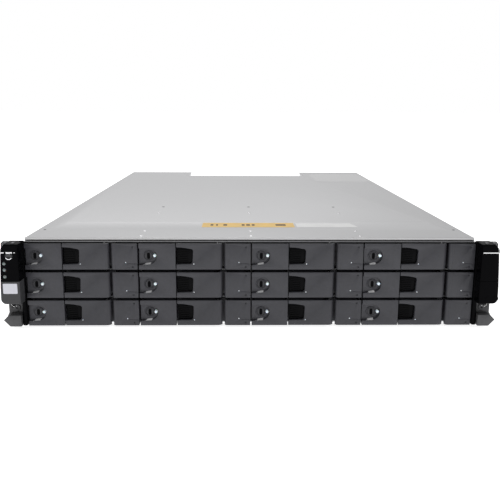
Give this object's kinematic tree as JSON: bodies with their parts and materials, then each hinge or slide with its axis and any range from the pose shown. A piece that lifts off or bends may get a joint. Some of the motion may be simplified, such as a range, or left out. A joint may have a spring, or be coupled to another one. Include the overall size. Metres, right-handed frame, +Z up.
{
  "type": "network attached storage",
  "caption": "Rack-mount storage enclosure, two rack units high: slide-out drive carriers with lever handles, rack ears, slide-out power supplies and I/O modules at the rear.",
  "frame": {"origin": "middle of the footprint, on the underside of the case", "axes": "+Y from the drive fronts to the rear, +Z up, +X to the right seen from the front"},
  "size_m": [0.4826, 0.63, 0.0879],
  "materials": {
    "case_steel": "zinc-plated sheet steel, satin",
    "cover_steel": "light grey sheet steel, fine satin",
    "circuit_board": "solder-masked circuit board",
    "connector_plastic": "moulded black",
    "ear_steel": "dark powder coat",
    "cap_gloss": "polished black",
    "rivet_steel": "bright rivet heads",
    "button_chrome": "polished",
    "module_steel": "zinc-plated sheet steel",
    "lever_plastic": "black, lightly textured",
    "fan_plastic": "moulded black",
    "carrier_plastic": "dark grey, fine satin texture",
    "latch_plastic": "black, ribbed"
  },
  "bodies": {
    "chassis": {"chassis_tub": "case_steel", "top_cover": "cover_steel", "bay_dividers": "case_steel", "bay_shelves": "case_steel", "midplane_board": "circuit_board", "midplane_connectors": "connector_plastic", "rear_frame": "case_steel", "flange_left": "ear_steel", "flange_right": "ear_steel", "ear_cap_left": "cap_gloss", "ear_cap_right": "cap_gloss", "indicator_board": "circuit_board", "rivets": "rivet_steel"},
    "power_button": {"power_button": "button_chrome"},
    "psu_case_left": {"psu_case_left": "module_steel"},
    "psu_lever_left": {"psu_lever_left": "lever_plastic"},
    "fan_rotor_left": {"fan_rotor_left": "fan_plastic"},
    "psu_case_right": {"psu_case_right": "module_steel"},
    "psu_lever_right": {"psu_lever_right": "lever_plastic"},
    "fan_rotor_right": {"fan_rotor_right": "fan_plastic"},
    "io_module_upper": {"io_module_upper": "module_steel"},
    "io_lever_upper": {"io_lever_upper": "lever_plastic"},
    "io_module_lower": {"io_module_lower": "module_steel"},
    "io_lever_lower": {"io_lever_lower": "lever_plastic"},
    "carrier_11": {"carrier_11": "carrier_plastic"},
    "handle_11": {"handle_11": "carrier_plastic"},
    "latch_11": {"latch_11": "latch_plastic"},
    "carrier_12": {"carrier_12": "carrier_plastic"},
    "handle_12": {"handle_12": "carrier_plastic"},
    "latch_12": {"latch_12": "latch_plastic"},
    "carrier_13": {"carrier_13": "carrier_plastic"},
    "handle_13": {"handle_13": "carrier_plastic"},
    "latch_13": {"latch_13": "latch_plastic"},
    "carrier_14": {"carrier_14": "carrier_plastic"},
    "handle_14": {"handle_14": "carrier_plastic"},
    "latch_14": {"latch_14": "latch_plastic"},
    "carrier_21": {"carrier_21": "carrier_plastic"},
    "handle_21": {"handle_21": "carrier_plastic"},
    "latch_21": {"latch_21": "latch_plastic"},
    "carrier_22": {"carrier_22": "carrier_plastic"},
    "handle_22": {"handle_22": "carrier_plastic"},
    "latch_22": {"latch_22": "latch_plastic"},
    "carrier_23": {"carrier_23": "carrier_plastic"},
    "handle_23": {"handle_23": "carrier_plastic"},
    "latch_23": {"latch_23": "latch_plastic"},
    "carrier_24": {"carrier_24": "carrier_plastic"},
    "handle_24": {"handle_24": "carrier_plastic"},
    "latch_24": {"latch_24": "latch_plastic"},
    "carrier_31": {"carrier_31": "carrier_plastic"},
    "handle_31": {"handle_31": "carrier_plastic"},
    "latch_31": {"latch_31": "latch_plastic"},
    "carrier_32": {"carrier_32": "carrier_plastic"},
    "handle_32": {"handle_32": "carrier_plastic"},
    "latch_32": {"latch_32": "latch_plastic"},
    "carrier_33": {"carrier_33": "carrier_plastic"},
    "handle_33": {"handle_33": "carrier_plastic"},
    "latch_33": {"latch_33": "latch_plastic"},
    "carrier_34": {"carrier_34": "carrier_plastic"},
    "handle_34": {"handle_34": "carrier_plastic"},
    "latch_34": {"latch_34": "latch_plastic"}
  },
  "joints": [
    {"name": "power_button_press", "type": "slide", "parent": "chassis", "child": "power_button", "axis": [0, 1, 0], "range_m": [0, 0.0012], "stiffness_N_per_m": 300, "springref_m": -0.0003},
    {"name": "psu_slide_left", "type": "slide", "parent": "chassis", "child": "psu_case_left", "axis": [0, 1, 0], "range_m": [0, 0.3]},
    {"name": "psu_lever_hinge_left", "type": "hinge", "parent": "psu_case_left", "child": "psu_lever_left", "pos_m": [-0.1535, 0.311, 0.009], "axis": [-1, 0, 0], "range_deg": [0, 90]},
    {"name": "fan_spin_left", "type": "hinge", "parent": "psu_case_left", "child": "fan_rotor_left", "pos_m": [-0.1535, 0.276, 0.043], "axis": [0, 1, 0], "continuous": true},
    {"name": "psu_slide_right", "type": "slide", "parent": "chassis", "child": "psu_case_right", "axis": [0, 1, 0], "range_m": [0, 0.3]},
    {"name": "psu_lever_hinge_right", "type": "hinge", "parent": "psu_case_right", "child": "psu_lever_right", "pos_m": [0.1535, 0.311, 0.009], "axis": [-1, 0, 0], "range_deg": [0, 90]},
    {"name": "fan_spin_right", "type": "hinge", "parent": "psu_case_right", "child": "fan_rotor_right", "pos_m": [0.1535, 0.276, 0.043], "axis": [0, 1, 0], "continuous": true},
    {"name": "io_slide_upper", "type": "slide", "parent": "chassis", "child": "io_module_upper", "axis": [0, 1, 0], "range_m": [0, 0.25]},
    {"name": "io_lever_hinge_upper", "type": "hinge", "parent": "io_module_upper", "child": "io_lever_upper", "pos_m": [0, 0.256, 0.0732], "axis": [1, 0, 0], "range_deg": [0, 90]},
    {"name": "io_slide_lower", "type": "slide", "parent": "chassis", "child": "io_module_lower", "axis": [0, 1, 0], "range_m": [0, 0.25]},
    {"name": "io_lever_hinge_lower", "type": "hinge", "parent": "io_module_lower", "child": "io_lever_lower", "pos_m": [0, 0.256, 0.0324], "axis": [1, 0, 0], "range_deg": [0, 90]},
    {"name": "carrier_slide_11", "type": "slide", "parent": "chassis", "child": "carrier_11", "axis": [0, -1, 0], "range_m": [0, 0.17]},
    {"name": "handle_hinge_11", "type": "hinge", "parent": "carrier_11", "child": "handle_11", "pos_m": [-0.142, -0.2956, 0.0715], "axis": [0, 0, 1], "range_deg": [0, 60]},
    {"name": "latch_slide_11", "type": "slide", "parent": "handle_11", "child": "latch_11", "axis": [1, 0, 0], "range_m": [0, 0.003], "stiffness_N_per_m": 150, "springref_m": -0.001},
    {"name": "carrier_slide_12", "type": "slide", "parent": "chassis", "child": "carrier_12", "axis": [0, -1, 0], "range_m": [0, 0.17]},
    {"name": "handle_hinge_12", "type": "hinge", "parent": "carrier_12", "child": "handle_12", "pos_m": [-0.0328, -0.2956, 0.0715], "axis": [0, 0, 1], "range_deg": [0, 60]},
    {"name": "latch_slide_12", "type": "slide", "parent": "handle_12", "child": "latch_12", "axis": [1, 0, 0], "range_m": [0, 0.003], "stiffness_N_per_m": 150, "springref_m": -0.001},
    {"name": "carrier_slide_13", "type": "slide", "parent": "chassis", "child": "carrier_13", "axis": [0, -1, 0], "range_m": [0, 0.17]},
    {"name": "handle_hinge_13", "type": "hinge", "parent": "carrier_13", "child": "handle_13", "pos_m": [0.0764, -0.2956, 0.0715], "axis": [0, 0, 1], "range_deg": [0, 60]},
    {"name": "latch_slide_13", "type": "slide", "parent": "handle_13", "child": "latch_13", "axis": [1, 0, 0], "range_m": [0, 0.003], "stiffness_N_per_m": 150, "springref_m": -0.001},
    {"name": "carrier_slide_14", "type": "slide", "parent": "chassis", "child": "carrier_14", "axis": [0, -1, 0], "range_m": [0, 0.17]},
    {"name": "handle_hinge_14", "type": "hinge", "parent": "carrier_14", "child": "handle_14", "pos_m": [0.1856, -0.2956, 0.0715], "axis": [0, 0, 1], "range_deg": [0, 60]},
    {"name": "latch_slide_14", "type": "slide", "parent": "handle_14", "child": "latch_14", "axis": [1, 0, 0], "range_m": [0, 0.003], "stiffness_N_per_m": 150, "springref_m": -0.001},
    {"name": "carrier_slide_21", "type": "slide", "parent": "chassis", "child": "carrier_21", "axis": [0, -1, 0], "range_m": [0, 0.17]},
    {"name": "handle_hinge_21", "type": "hinge", "parent": "carrier_21", "child": "handle_21", "pos_m": [-0.142, -0.2956, 0.0431], "axis": [0, 0, 1], "range_deg": [0, 60]},
    {"name": "latch_slide_21", "type": "slide", "parent": "handle_21", "child": "latch_21", "axis": [1, 0, 0], "range_m": [0, 0.003], "stiffness_N_per_m": 150, "springref_m": -0.001},
    {"name": "carrier_slide_22", "type": "slide", "parent": "chassis", "child": "carrier_22", "axis": [0, -1, 0], "range_m": [0, 0.17]},
    {"name": "handle_hinge_22", "type": "hinge", "parent": "carrier_22", "child": "handle_22", "pos_m": [-0.0328, -0.2956, 0.0431], "axis": [0, 0, 1], "range_deg": [0, 60]},
    {"name": "latch_slide_22", "type": "slide", "parent": "handle_22", "child": "latch_22", "axis": [1, 0, 0], "range_m": [0, 0.003], "stiffness_N_per_m": 150, "springref_m": -0.001},
    {"name": "carrier_slide_23", "type": "slide", "parent": "chassis", "child": "carrier_23", "axis": [0, -1, 0], "range_m": [0, 0.17]},
    {"name": "handle_hinge_23", "type": "hinge", "parent": "carrier_23", "child": "handle_23", "pos_m": [0.0764, -0.2956, 0.0431], "axis": [0, 0, 1], "range_deg": [0, 60]},
    {"name": "latch_slide_23", "type": "slide", "parent": "handle_23", "child": "latch_23", "axis": [1, 0, 0], "range_m": [0, 0.003], "stiffness_N_per_m": 150, "springref_m": -0.001},
    {"name": "carrier_slide_24", "type": "slide", "parent": "chassis", "child": "carrier_24", "axis": [0, -1, 0], "range_m": [0, 0.17]},
    {"name": "handle_hinge_24", "type": "hinge", "parent": "carrier_24", "child": "handle_24", "pos_m": [0.1856, -0.2956, 0.0431], "axis": [0, 0, 1], "range_deg": [0, 60]},
    {"name": "latch_slide_24", "type": "slide", "parent": "handle_24", "child": "latch_24", "axis": [1, 0, 0], "range_m": [0, 0.003], "stiffness_N_per_m": 150, "springref_m": -0.001},
    {"name": "carrier_slide_31", "type": "slide", "parent": "chassis", "child": "carrier_31", "axis": [0, -1, 0], "range_m": [0, 0.17]},
    {"name": "handle_hinge_31", "type": "hinge", "parent": "carrier_31", "child": "handle_31", "pos_m": [-0.142, -0.2956, 0.0147], "axis": [0, 0, 1], "range_deg": [0, 60]},
    {"name": "latch_slide_31", "type": "slide", "parent": "handle_31", "child": "latch_31", "axis": [1, 0, 0], "range_m": [0, 0.003], "stiffness_N_per_m": 150, "springref_m": -0.001},
    {"name": "carrier_slide_32", "type": "slide", "parent": "chassis", "child": "carrier_32", "axis": [0, -1, 0], "range_m": [0, 0.17]},
    {"name": "handle_hinge_32", "type": "hinge", "parent": "carrier_32", "child": "handle_32", "pos_m": [-0.0328, -0.2956, 0.0147], "axis": [0, 0, 1], "range_deg": [0, 60]},
    {"name": "latch_slide_32", "type": "slide", "parent": "handle_32", "child": "latch_32", "axis": [1, 0, 0], "range_m": [0, 0.003], "stiffness_N_per_m": 150, "springref_m": -0.001},
    {"name": "carrier_slide_33", "type": "slide", "parent": "chassis", "child": "carrier_33", "axis": [0, -1, 0], "range_m": [0, 0.17]},
    {"name": "handle_hinge_33", "type": "hinge", "parent": "carrier_33", "child": "handle_33", "pos_m": [0.0764, -0.2956, 0.0147], "axis": [0, 0, 1], "range_deg": [0, 60]},
    {"name": "latch_slide_33", "type": "slide", "parent": "handle_33", "child": "latch_33", "axis": [1, 0, 0], "range_m": [0, 0.003], "stiffness_N_per_m": 150, "springref_m": -0.001},
    {"name": "carrier_slide_34", "type": "slide", "parent": "chassis", "child": "carrier_34", "axis": [0, -1, 0], "range_m": [0, 0.17]},
    {"name": "handle_hinge_34", "type": "hinge", "parent": "carrier_34", "child": "handle_34", "pos_m": [0.1856, -0.2956, 0.0147], "axis": [0, 0, 1], "range_deg": [0, 60]},
    {"name": "latch_slide_34", "type": "slide", "parent": "handle_34", "child": "latch_34", "axis": [1, 0, 0], "range_m": [0, 0.003], "stiffness_N_per_m": 150, "springref_m": -0.001}
  ]
}
